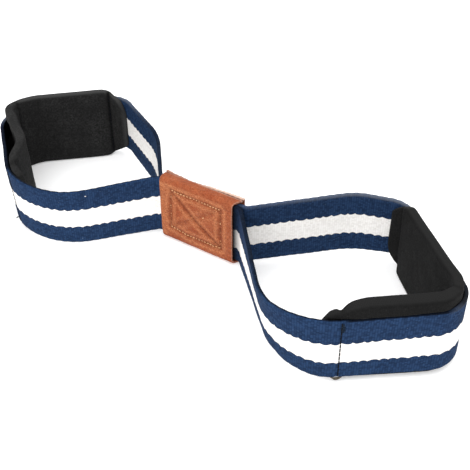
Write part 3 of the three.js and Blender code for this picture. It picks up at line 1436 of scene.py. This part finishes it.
    def _ring(self, inner: Array, outer: Array, low: Array, high: Array, along: Array) -> tuple[Array, Array, Array]:
        """Sections of the pad: upright rectangles with round corners.

        Args:
            inner: Where the inner face lies, section by section.
            outer: Where the outer face lies.
            low: Height of the lower edge.
            high: Height of the upper edge.
            along: Distance along the pad.

        Returns:
            Distance out and height, by section and point, and the rim's mask by point.
        """
        radius = np.minimum(self.round_share * (outer - inner), self.corner_round)
        turn = np.linspace(0.0, QUARTER, self.corner_points)
        rise = np.linspace(0.0, 1.0, self.face_points + 2)[1:-1]
        shares = {Face.OUTER: np.interp(rise, self.face_rises, self.face_shares), Face.INNER: 1.0 - rise}
        out_parts = []
        up_parts = []
        rim_parts = []
        corners = (
            (outer - radius, low + radius, Face.OUTER),
            (outer - radius, high - radius, None),
            (inner + radius, high - radius, Face.INNER),
            (inner + radius, low + radius, None),
        )
        for i, (centre_out, centre_up, face) in enumerate(corners):
            angle = (i - 1) * QUARTER + turn
            out_parts.append(centre_out[:, None] + radius[:, None] * np.cos(angle)[None, :])
            up_parts.append(centre_up[:, None] + radius[:, None] * np.sin(angle)[None, :])
            rim_parts.append(np.abs(np.sin(angle)) ** 2)
            if face is None:
                continue
            span = (high - low - 2.0 * radius)[:, None]
            up_face = (low + radius)[:, None] + span * shares[face][None, :]
            out_face = (outer if face is Face.OUTER else inner)[:, None] + np.zeros_like(up_face)
            if face is Face.INNER:
                places = np.broadcast_to(along[:, None], up_face.shape)
                out_face = out_face + self.dent * crumple(places, up_face, self.dent_seed, *self.dent_lengths)
            out_parts.append(out_face)
            up_parts.append(up_face)
            rim_parts.append(np.zeros(len(rise)))
        return np.hstack(out_parts), np.hstack(up_parts), np.concatenate(rim_parts)

    def sew(self, sewing: Sewing, margin: float = 2.0, off: float = 0.02, arch: float = 0.25) -> None:
        """Sews the two lines through the pad, seen on its inner face.

        Args:
            sewing: The rows of stitches to add to.
            margin: How far a line stays off the pad's edges.
            off: How far the thread stands off the foam.
            arch: How far a stitch's ends dip below its middle.
        """
        for sewn in self.sewn():
            along = np.full(self.row_points, sewn)
            low, high = self.edges(along)
            up = np.linspace(low[0] + margin, high[0] - margin, self.row_points)
            out = self.outer(along) - self.thick(along) - off
            walked = self.walked(along)
            sewing.row(self.route.line(walked, out, up), -self.route.outward(walked), arch)


# Leather sleeve


@dataclass(frozen=True)
class Seam:
    """A row of stitches on a face of the sleeve: its ends in X and Z, its pull, and how deep its thread lies.

    The pull draws the leather in by a dip under the thread and a valley on both sides of it, darkens them with
    painted shade, and marks a crest beside the valley with scuffs and painted highlight.
    """

    start: Span
    end: Span
    pull: float
    sunk: float
    pitch_aim: float = 2.1
    dip: float = 0.36
    dip_reach: float = 0.9
    dip_wave: float = 0.3
    valley: float = 0.50
    valley_reach: float = 2.4
    shade: float = 0.34
    shade_reach: float = 0.8
    shade_wave: float = 0.4
    valley_shade: float = 0.22
    valley_shade_reach: float = 2.0
    crest: float = 0.66
    crest_away: float = 3.0
    crest_reach: float = 1.2

    def points(self, count: int) -> tuple[Array, Array]:
        """Evenly spaced places along the row, in X and Z."""
        x, z = (np.linspace(start, end, count) for start, end in zip(self.start, self.end))
        return x, z

    def draw(self, x: Array, z: Array) -> tuple[Array, Array, Array]:
        """What the row does to a face.

        Args:
            x: Places along the sleeve.
            z: Heights, of the same shape.

        Returns:
            Depth in millimetres, the mask of the groove's painted shade and the mask of the crest's scuffs and
            painted highlight.
        """
        span = math.dist(self.start, self.end)
        way = ((self.end[0] - self.start[0]) / span, (self.end[1] - self.start[1]) / span)
        along = np.clip((x - self.start[0]) * way[0] + (z - self.start[1]) * way[1], 0.0, span)
        gap = np.hypot(x - self.start[0] - along * way[0], z - self.start[1] - along * way[1])
        pitch = span / max(1, round(span / self.pitch_aim))
        hole = np.cos(TURN * along / pitch)
        depth = self.dip * bell(gap, self.dip_reach) * (1.0 + self.dip_wave * hole)
        depth = depth + self.valley * bell(gap, self.valley_reach)
        shade = self.shade * bell(gap, self.shade_reach) * (1.0 + self.shade_wave * hole)
        shade = shade + self.valley_shade * bell(gap, self.valley_shade_reach)
        crest = self.crest * bell(gap - self.crest_away, self.crest_reach)
        strength = min(self.pull, 1.0)
        return self.pull * depth, strength * shade, strength * crest


@dataclass
class LeatherSleeve:
    """A strip of leather folded under the webbing and rolled over its top, sewn in a crossed box."""

    seams: tuple[Seam, ...]
    length: float = 52.0
    skew: float = 2.2
    thick: float = 1.6
    top: float = 43.0
    outside: float = 4.3
    fold: float = 3.0
    fold_points: int = 9
    roll_end: float = 2.3
    step: float = 0.42
    end_columns: Table = (0.0, 0.12, 0.28, 0.5)
    end_margin: float = 0.9
    edge_round: float = 0.32
    edge_reach: float = 0.3
    inner_round: float = 0.5
    cut_share: float = 0.28
    cut_reach: float = 0.28
    torn_places: Span = (-8.0, 10.0)
    torn_shares: Span = (0.3, 1.0)
    torn_reach: float = 0.6
    inner_shade: float = 0.75
    swell: float = 0.35
    crumples: float = 0.16
    crumple_seed: int = 11
    crumple_lengths: Span = (3.0, 14.0)
    roll_crumples: float = 0.07
    roll_seed: int = 3
    roll_lengths: Span = (4.0, 16.0)
    overlap: float = 0.12
    raw_places: Table = (-26.0, -20.0, -10.0, -2.0, 7.0, 17.0, 28.0)
    raw_tops: Table = (43.2, 42.5, 41.7, 42.0, 43.0, 43.5, 43.5)
    raw_wave: float = 0.12
    raw_turns: float = 1.9
    raw_from: float = 34.0
    slack: float = 0.01
    left_highlight: float = 0.45
    left_highlight_at: float = -24.5
    left_highlight_reach: float = 3.0
    top_scuff_and_highlight_at: float = 38.6
    top_scuff_and_highlight_reach: float = 1.8
    top_scuff_and_highlight_places: Table = (-24.0, -8.0, 8.0)
    top_scuff_and_highlight_shares: Table = (1.0, 0.8, 0.0)
    thread_off: float = 0.12
    thread_arch: float = 0.3
    sinks: tuple[Point, ...] = ((0.24, 0.31, 0.93), (0.14, 1.3, -0.4))
    row_points: int = 80

    def build(self, effects: Effects) -> Piece:
        """Builds and dresses the sleeve.

        Args:
            effects: The shared node groups.

        Returns:
            The piece.
        """
        middle, normal = self._middle_line()
        x = spaced(self.length, self.end_columns, self.end_margin, self.step) - self.length / 2.0
        half = self.thick / 2.0
        path = strides(middle)
        ends = np.minimum(x + self.length / 2.0, self.length / 2.0 - x)[:, None]
        tips = np.minimum(path, path[-1] - path)[None, :]
        round_off = self.edge_round * (bell(ends, self.edge_reach) + bell(tips, self.edge_reach))
        wide = x[:, None] + self.skew * (x / self.length + 0.5)[:, None] * middle[None, :, 0] / self.outside
        relief, groove_shade, crest = self._relief(wide, middle)
        skin_out = self._lay(wide, middle, normal, half - round_off + relief)
        skin_in = self._lay(wide, middle, normal, -half + self.inner_round * round_off)
        torn = eased(wide, self.torn_places, self.torn_shares) * bell(tips, self.torn_reach)
        skins = {
            # Painted shade in the outer skin's grooves and on the inner skin, but not on its torn edges.
            Mask.GROOVE: (groove_shade, self.inner_shade * (1.0 - torn)),
            Mask.RAW_EDGE: (np.maximum(self.cut_share * bell(ends, self.cut_reach), torn), torn),
            Mask.CREST: (crest, np.zeros_like(crest)),
        }
        masks = {mask: np.concatenate([front, back[:, ::-1]], axis=1) for mask, (front, back) in skins.items()}
        grid = np.concatenate([skin_out, skin_in[:, ::-1]], axis=1)
        patch = Patchwork()
        first = patch.add_grid(grid, x, np.concatenate([path, path[::-1]]), masks=masks)
        ring = grid.shape[1]
        for start, way in ((first, -1), (first + (len(x) - 1) * ring, 1)):
            last = start + ring - 1
            quads = [[start + k, start + k + 1, last - 1 - k, last - k] for k in range(len(path) - 1)]
            patch.add_faces([quad[::way] for quad in quads], (0.0, 0.0))
        material = LeatherFinish("tan_leather").build(effects)
        return patch.to_piece("leather_wrap", material, Slot.LEATHER, "leather_sleeve")

    def _middle_line(self) -> tuple[Array, Array]:
        """Middle line of the leather's section, from the roll's end to the raw edge behind it.

        Returns:
            Points and outward directions, in Y and Z.
        """
        centre = self.outside - self.fold
        radius = self.fold - self.thick / 2.0
        roll = self.top - self.fold
        turns = np.linspace(0.0, QUARTER, self.fold_points, endpoint=False)
        parts: list[tuple[Array, Array]] = []

        def run(start: Span, end: Span, way: Span) -> None:
            """Adds a straight run that faces one way."""
            line = np.linspace(start, end, max(3, round(math.dist(start, end) / self.step)), endpoint=False)
            parts.append((line, np.tile(way, (len(line), 1))))

        def bend(y: float, z: float, start: float) -> None:
            """Adds a quarter turn about a point."""
            ways = np.array([unit(start + turn) for turn in turns])
            parts.append((np.array([y, z]) + radius * ways, ways))

        run((self.roll_end, roll + radius), (-centre, roll + radius), (0.0, 1.0))
        bend(-centre, roll, QUARTER)
        run((-centre - radius, roll), (-centre - radius, self.fold), (-1.0, 0.0))
        bend(-centre, self.fold, 2.0 * QUARTER)
        run((-centre, self.fold - radius), (centre, self.fold - radius), (0.0, -1.0))
        bend(centre, self.fold, 3.0 * QUARTER)
        run((centre + radius, self.fold), (centre + radius, self.top), (1.0, 0.0))
        parts.append((np.array([[centre + radius, self.top]]), np.array([[1.0, 0.0]])))
        points, normals = (np.vstack(rows) for rows in zip(*parts))
        return points, normals

    def depth(self, x: Array, z: Array) -> tuple[Array, Array, Array]:
        """How far the seams draw a face in.

        Args:
            x: Places along the sleeve.
            z: Heights, of the same shape.

        Returns:
            Depth in millimetres, the mask of the painted shade in the grooves and the mask of the scuffs and painted
            highlight on the crests beside them.
        """
        depth, groove_shade, crest = (np.zeros_like(x) for _ in range(3))
        for seam in self.seams:
            here, shade, painted_highlight = seam.draw(x, z)
            depth = np.maximum(depth, here) + self.overlap * np.minimum(depth, here)
            groove_shade = np.maximum(groove_shade, shade)
            crest = np.maximum(crest, painted_highlight)
        return depth, groove_shade, crest

    def lift(self, x: Array, z: Array) -> Array:
        """How far a face swells and crumples, apart from its seams."""
        swell = self.swell * np.sin(math.pi * np.clip(z / self.top, 0.0, 1.0))
        return swell + self.crumples * crumple(x, z, self.crumple_seed, *self.crumple_lengths)

    def _relief(self, wide: Array, middle: Array) -> tuple[Array, Array, Array]:
        """Relief of the outer skin: seams drawn in, and the leather swelling between them.

        Args:
            wide: Places along the sleeve, by column and place on the section.
            middle: Middle line of the section.

        Returns:
            Relief in millimetres, the mask of the grooves' painted shade and the mask of the crests' scuffs and
            painted highlight, by column and place.
        """
        deep, high = (np.broadcast_to(middle[None, :, k], wide.shape) for k in range(2))
        on_face = (np.abs(middle[:, 0]) > self.outside - self.thick / 2.0 - self.slack)[None, :]
        depth, groove_shade, crest = self.depth(wide, high)
        uneven = self.roll_crumples * crumple(wide, deep, self.roll_seed, *self.roll_lengths)
        relief = np.where(on_face, self.lift(wide, high) - depth, uneven)
        # Painted highlight on the left margin, and scuffs and painted highlight above the top row of stitches.
        crest = np.maximum(crest, self.left_highlight * bell(wide - self.left_highlight_at, self.left_highlight_reach))
        scuffing_and_highlight = np.interp(wide, self.top_scuff_and_highlight_places, self.top_scuff_and_highlight_shares)
        crest = np.maximum(crest, scuffing_and_highlight * bell(high - self.top_scuff_and_highlight_at, self.top_scuff_and_highlight_reach))
        return relief, groove_shade * on_face, crest * on_face

    def _lay(self, wide: Array, middle: Array, normal: Array, off: Array) -> Array:
        """Points of a skin of the leather, the back leaf cut to its uneven raw edge.

        Args:
            wide: Places along the sleeve, by column and place on the section.
            middle: Middle line of the section, in Y and Z.
            normal: Outward directions of the section.
            off: Distance from the middle line, by column and place.

        Returns:
            Points by column and place.
        """
        flat = middle[None, :, :] + normal[None, :, :] * off[:, :, None]
        raw = eased(wide, self.raw_places, self.raw_tops) + self.raw_wave * np.sin(self.raw_turns * wide)
        share = ramp(middle[:, 1], self.raw_from, self.top) * (middle[:, 0] > self.roll_end + self.slack)
        height = flat[:, :, 1] + share[None, :] * (raw - self.top)
        return np.stack([wide, flat[:, :, 0], height], axis=2)

    def sew(self, sewing: Sewing) -> None:
        """Sews the crossed box through the front and the back.

        Args:
            sewing: The rows of stitches to add to.
        """
        for face in Face:
            for seam in self.seams:
                x, z = seam.points(self.row_points)
                sunk = seam.sunk + sum(deep * np.sin(by_x * x + by_z * z) for deep, by_x, by_z in self.sinks)
                out = self.outside + self.lift(x, z) - self.depth(x, z)[0] + self.thread_off - sunk
                normal = np.tile([0.0, float(face.value), 0.0], (len(x), 1))
                sewing.row(np.stack([x, face.value * out, z], axis=1), normal, self.thread_arch)


# Studio


@dataclass(frozen=True)
class Lamp:
    """A soft square light that looks at the strap, in metres and watts."""

    name: str
    place: Point
    size: float
    power: float


@dataclass
class Studio:
    """Floor, light and camera, in metres and degrees."""

    lens: float = 61.28
    sensor: float = 36.0
    eye: Point = (0.2235, -0.3007, 0.296)
    pitch: float = 37.5
    azimuth: float = 33.6
    floor_size: float = 6.0
    floor_drop: float = 0.0002
    sky: float = 1.15
    lamps: tuple[Lamp, ...] = (
        Lamp("key_light", (0.2, -1.2, 1.1), 1.6, 18.0),
        Lamp("top_light", (0.0, 0.25, 1.5), 1.8, 12.0),
    )

    def build(self, effects: Effects) -> None:
        """Builds the camera, the floor and the lights.

        Args:
            effects: The shared node groups.
        """
        self._camera()
        self._floor(effects)
        self._light()
        bpy.context.scene.view_settings.view_transform = "Standard"

    @staticmethod
    def _set(name: str, data: bpy.types.ID, place: Point) -> Piece:
        """Puts an object into the scene.

        Args:
            name: Its name.
            data: Its mesh, light or camera.
            place: Where it stands.

        Returns:
            The object.
        """
        made = bpy.data.objects.new(name, data)
        made.location = place
        bpy.context.scene.collection.objects.link(made)
        return made

    def _camera(self) -> None:
        """Sets the camera at the photograph's angle."""
        data = bpy.data.cameras.new("camera")
        data.lens = self.lens
        data.sensor_width = self.sensor
        camera = self._set("camera", data, self.eye)
        camera.rotation_euler = (math.radians(90.0 - self.pitch), 0.0, math.radians(self.azimuth))
        bpy.context.scene.camera = camera

    def _floor(self, effects: Effects) -> None:
        """Lays the floor.

        Args:
            effects: The shared node groups.
        """
        half = self.floor_size / 2.0
        mesh = bpy.data.meshes.new("floor")
        mesh.from_pydata([(-half, -half, 0), (half, -half, 0), (half, half, 0), (-half, half, 0)], [], [(0, 1, 2, 3)])
        mesh.materials.append(FloorFinish("floor_paint").build(effects))
        self._set("floor", mesh, (0.0, 0.0, -self.floor_drop))

    def _light(self) -> None:
        """Sets the sky and the lamps."""
        world = bpy.data.worlds.new("studio")
        world.use_nodes = True
        backdrop = world.node_tree.nodes["Background"].inputs
        backdrop["Color"].default_value = WHITE
        backdrop["Strength"].default_value = self.sky
        bpy.context.scene.world = world
        for lamp in self.lamps:
            data = bpy.data.lights.new(lamp.name, "AREA")
            data.size = lamp.size
            data.energy = lamp.power
            made = self._set(lamp.name, data, lamp.place)
            made.rotation_euler = (-made.location).to_track_quat("-Z", "Y").to_euler()


# The strap

LAYER_Y = 1.3

ROUTE_CORNERS = (
    Corner("left_sleeve_near", x=-29.0, y=-LAYER_Y, bend=5.0, rise=2.8, lean=0.0, stripe=0.8),
    Corner("left_near", x=-64.0, y=-47.8, bend=35.0, rise=3.5, lean=4.0, stripe=1.2),
    Corner("left_front", x=-98.4, y=-50.5, bend=38.0, rise=4.2, lean=2.5, stripe=1.2),
    Corner("left_tip", x=-166.8, y=4.5, bend=25.0, rise=3.6, lean=-1.2, stripe=0.8),
    Corner("left_back", x=-108.8, y=61.8, bend=18.0, rise=5.0, lean=0.0, stripe=0.7, painted_highlight=0.8),
    Corner("left_far", x=-57.8, y=34.0, bend=60.0, rise=4.0, lean=2.0, stripe=0.7, painted_highlight=0.0, dark=0.7),
    Corner("left_sleeve_far", x=-29.0, y=LAYER_Y, bend=5.0, rise=2.8, lean=0.0, stripe=0.7, painted_highlight=0.105, dark=0.7),
    Corner("right_sleeve_far", x=30.7, y=LAYER_Y, bend=6.0, rise=2.8, lean=0.0, stripe=0.7, painted_highlight=0.25),
    Corner("right_far", x=75.5, y=45.5, bend=35.0, rise=3.7, lean=2.0, stripe=0.7, painted_highlight=0.85),
    Corner("right_back", x=102.7, y=53.1, bend=17.0, rise=4.6, lean=-1.5, stripe=0.6),
    Corner("right_tip", x=168.0, y=-8.9, bend=18.0, rise=4.4, lean=-0.5, stripe=0.0),
    Corner("right_front", x=108.0, y=-56.7, bend=28.0, rise=2.8, lean=1.2, stripe=-0.7),
    Corner("right_near", x=79.5, y=-56.0, bend=38.0, rise=1.8, lean=7.2, stripe=-0.7),
    Corner("right_sleeve_near", x=28.2, y=-LAYER_Y, bend=6.0, rise=2.8, lean=0.0, stripe=-2.2),
)

BOW_PLACES = (-76.0, -50.0, -24.0, 0.0, 26.0, 50.0, 69.0)
BOWS_LEFT = (0.0, 6.5, 4.5, 0.0, 0.3, 0.5, 0.0)
BOWS_RIGHT = (0.0, 0.6, 1.1, 0.8, 0.1, 0.0, 0.0)
DIPS_LEFT = (0.0, 0.0, 0.0, 0.0, 0.0, 0.0, 0.0)
DIPS_RIGHT = (0.6, 0.5, 0.3, 0.3, 0.0, 0.0, 0.5)
LIP_PLACES = (-76.0, -50.0, -24.0, -8.0, 4.0, 12.0, 26.0, 50.0, 69.0)
LIPS_LEFT = (0.0, 0.0, 1.0, 2.0, 0.6, 0.0, 0.0, 0.0, 0.0)
LIPS_RIGHT = (0.0, 0.0, 0.0, 0.3, 1.6, 2.6, 2.9, 2.6, 0.5)

FLAP_PLACES = (0.0, 1.0, 2.5, 4.6, 7.1, 8.6, 10.5, 12.0, 13.5, 15.7, 19.0, 23.0)
LOWS_LEFT = (9.5, 7.8, 7.0, 6.0, 4.8, 4.2, 3.4, 2.8, 1.6, 0.7, 0.2, 0.0)
LOWS_RIGHT = (12.5, 10.8, 9.0, 7.0, 5.2, 4.3, 3.3, 2.6, 1.2, 0.2, 0.0, 0.0)
HIGHS_LEFT = (33.5, 36.2, 39.0, 42.0, 43.6, 44.2, 45.2, 46.6, 47.7, 48.5, 49.2, 49.5)
HIGHS_FAR = (35.8, 37.2, 38.6, 40.2, 41.8, 42.6, 43.4, 44.4, 45.3, 46.6, 48.4, 49.5)
HIGHS_NEAR = (36.8, 38.2, 40.0, 42.5, 44.2, 44.8, 44.2, 45.8, 46.8, 47.8, 48.8, 49.5)

BOX_SEAMS = (
    Seam(start=(-18.2, 36.3), end=(-1.0, 35.95), pull=1.0, sunk=-0.1),
    Seam(start=(-1.0, 35.95), end=(16.4, 35.6), pull=1.0, sunk=0.12),
    Seam(start=(16.4, 35.6), end=(16.3, 8.5), pull=1.0, sunk=0.56),
    Seam(start=(16.3, 8.5), end=(-6.0, 8.1), pull=1.0, sunk=0.0),
    Seam(start=(-6.0, 8.1), end=(-19.4, 10.3), pull=1.0, sunk=0.0),
    Seam(start=(-19.4, 10.3), end=(-18.2, 36.3), pull=1.1, sunk=0.48),
    Seam(start=(-17.4, 34.9), end=(-1.0, 20.7), pull=1.25, sunk=0.72),
    Seam(start=(-1.0, 20.7), end=(16.0, 9.0), pull=1.25, sunk=0.72),
    Seam(start=(-19.0, 10.3), end=(16.2, 35.6), pull=0.55, sunk=0.78),
    Seam(start=(3.8, 25.2), end=(5.8, 26.6), pull=0.3, sunk=-0.05),
)

TAN_THREAD = ThreadFinish("tan_thread", (0.78, 0.47, 0.26, 1.0), (0.42, 0.18, 0.075, 1.0))
BLACK_THREAD = ThreadFinish("black_thread", (0.004, 0.005, 0.009, 1.0), (0.002, 0.002, 0.003, 1.0), specular=0.06)
NAVY_THREAD = ThreadFinish("navy_thread", (0.011, 0.021, 0.038, 1.0), (0.005, 0.010, 0.018, 1.0), specular=0.06)
WORN_THREAD = ThreadFinish("worn_thread", (0.110, 0.090, 0.062, 1.0), (0.040, 0.034, 0.026, 1.0))
PALE_LINT = ThreadFinish("pale_lint", (0.80, 0.80, 0.80, 1.0), (0.55, 0.57, 0.60, 1.0))

STRAY_END = ThreadEnd((102.6, 1.2, 0.0), (102.0, 0.9, 1.5), sag=-0.5)
LOOSE_ENDS = (
    ThreadEnd((-2.6, 0.1, -0.3), (3.2, 0.2, -0.2), sag=0.9),
    ThreadEnd((-1.6, -0.1, 0.1), (2.2, -0.1, 0.1), sag=1.2),
)
LINT_SPECK = ThreadEnd((45.0, 34.4, 0.1), (45.8, 34.7, 0.2), sag=0.1)


def make_pads(route: Route) -> tuple[WristPad, WristPad]:
    """The two pads.

    Args:
        route: The webbing's route.

    Returns:
        The left pad and the right one.
    """
    left = WristPad(
        "left_pad",
        "wrist_pad_left",
        # The left pad's rim colour is lighter than the right pad's: painted highlight.
        PadFinish("left_foam", grey(0.0078), grey(0.027), grey(0.034)),
        route,
        "left_tip",
        before=86.0,
        after=80.5,
        bows=BOWS_LEFT,
        dips=DIPS_LEFT,
        lips=LIPS_LEFT,
        ends=(PadEnd(LOWS_LEFT, HIGHS_LEFT, 12.0, 0.4), PadEnd(LOWS_LEFT, HIGHS_LEFT, 13.6, 1.0)),
        crease=1.8,
        lip_inside=0.9,
        side_dark=0.0,
        rim_near=0.05,
    )
    right = WristPad(
        "right_pad",
        "wrist_pad_right",
        # The same foam as the left pad's; its darker colours are painted shade.
        PadFinish("right_foam", grey(0.0042), grey(0.0140), grey(0.0105)),
        route,
        "right_tip",
        before=89.6,
        after=71.6,
        bows=BOWS_RIGHT,
        dips=DIPS_RIGHT,
        lips=LIPS_RIGHT,
        ends=(PadEnd(LOWS_RIGHT, HIGHS_FAR, 12.0, 0.3), PadEnd(LOWS_LEFT, HIGHS_NEAR, 11.0, 0.4)),
        crease=1.4,
        lip_inside=0.15,
        side_dark=0.5,
        rim_near=1.0,
        groove_reach=2.6,
    )
    return left, right


def main() -> None:
    """Builds the strap and its studio."""
    logging.basicConfig(level=logging.INFO, format="%(name)s %(message)s")
    effects = Effects.build()
    Studio().build(effects)
    route = Route(ROUTE_CORNERS)
    log.info("route: %.1f mm round", route.length)

    sleeve = LeatherSleeve(BOX_SEAMS)
    sleeve_piece = sleeve.build(effects)
    box = Sewing("sleeve_stitching", Slot.LEATHER, TAN_THREAD, radius=0.36, stitch=1.3, gap=0.8)
    sleeve.sew(box)
    box.to_piece(effects)

    pads = make_pads(route)
    pad_lines = Sewing("pad_stitching", Slot.PAD, BLACK_THREAD, radius=0.34, stitch=2.6, gap=0.1)
    backings = []
    for pad in pads:
        pad.build(effects)
        pad.sew(pad_lines)
        backings.append(tuple(pad.walked(np.array(pad.sewn())).tolist()))
    seams = tuple(seam for backing in backings for seam in backing)
    tacked = seams[-1]

    band = Webbing(route, seams, tuple(backings))
    band_piece = band.build(effects)
    band.sew(pad_lines)
    STRAY_END.lay(band, pad_lines)
    pad_lines.to_piece(effects)

    tack = Sewing("bar_tack", Slot.WEBBING, NAVY_THREAD, radius=0.3)
    BarTack().sew(band, tack, tacked)
    tack.to_piece(effects)

    loose = Sewing("loose_threads", Slot.WEBBING, WORN_THREAD, radius=0.42)
    for end in LOOSE_ENDS:
        end.lay(band, loose, tacked)
    loose.to_piece(effects)

    lint = Sewing("lint", Slot.WEBBING, PALE_LINT, radius=0.26)
    LINT_SPECK.lay(band, lint)
    lint.to_piece(effects)


if __name__ == "__main__":
    main()
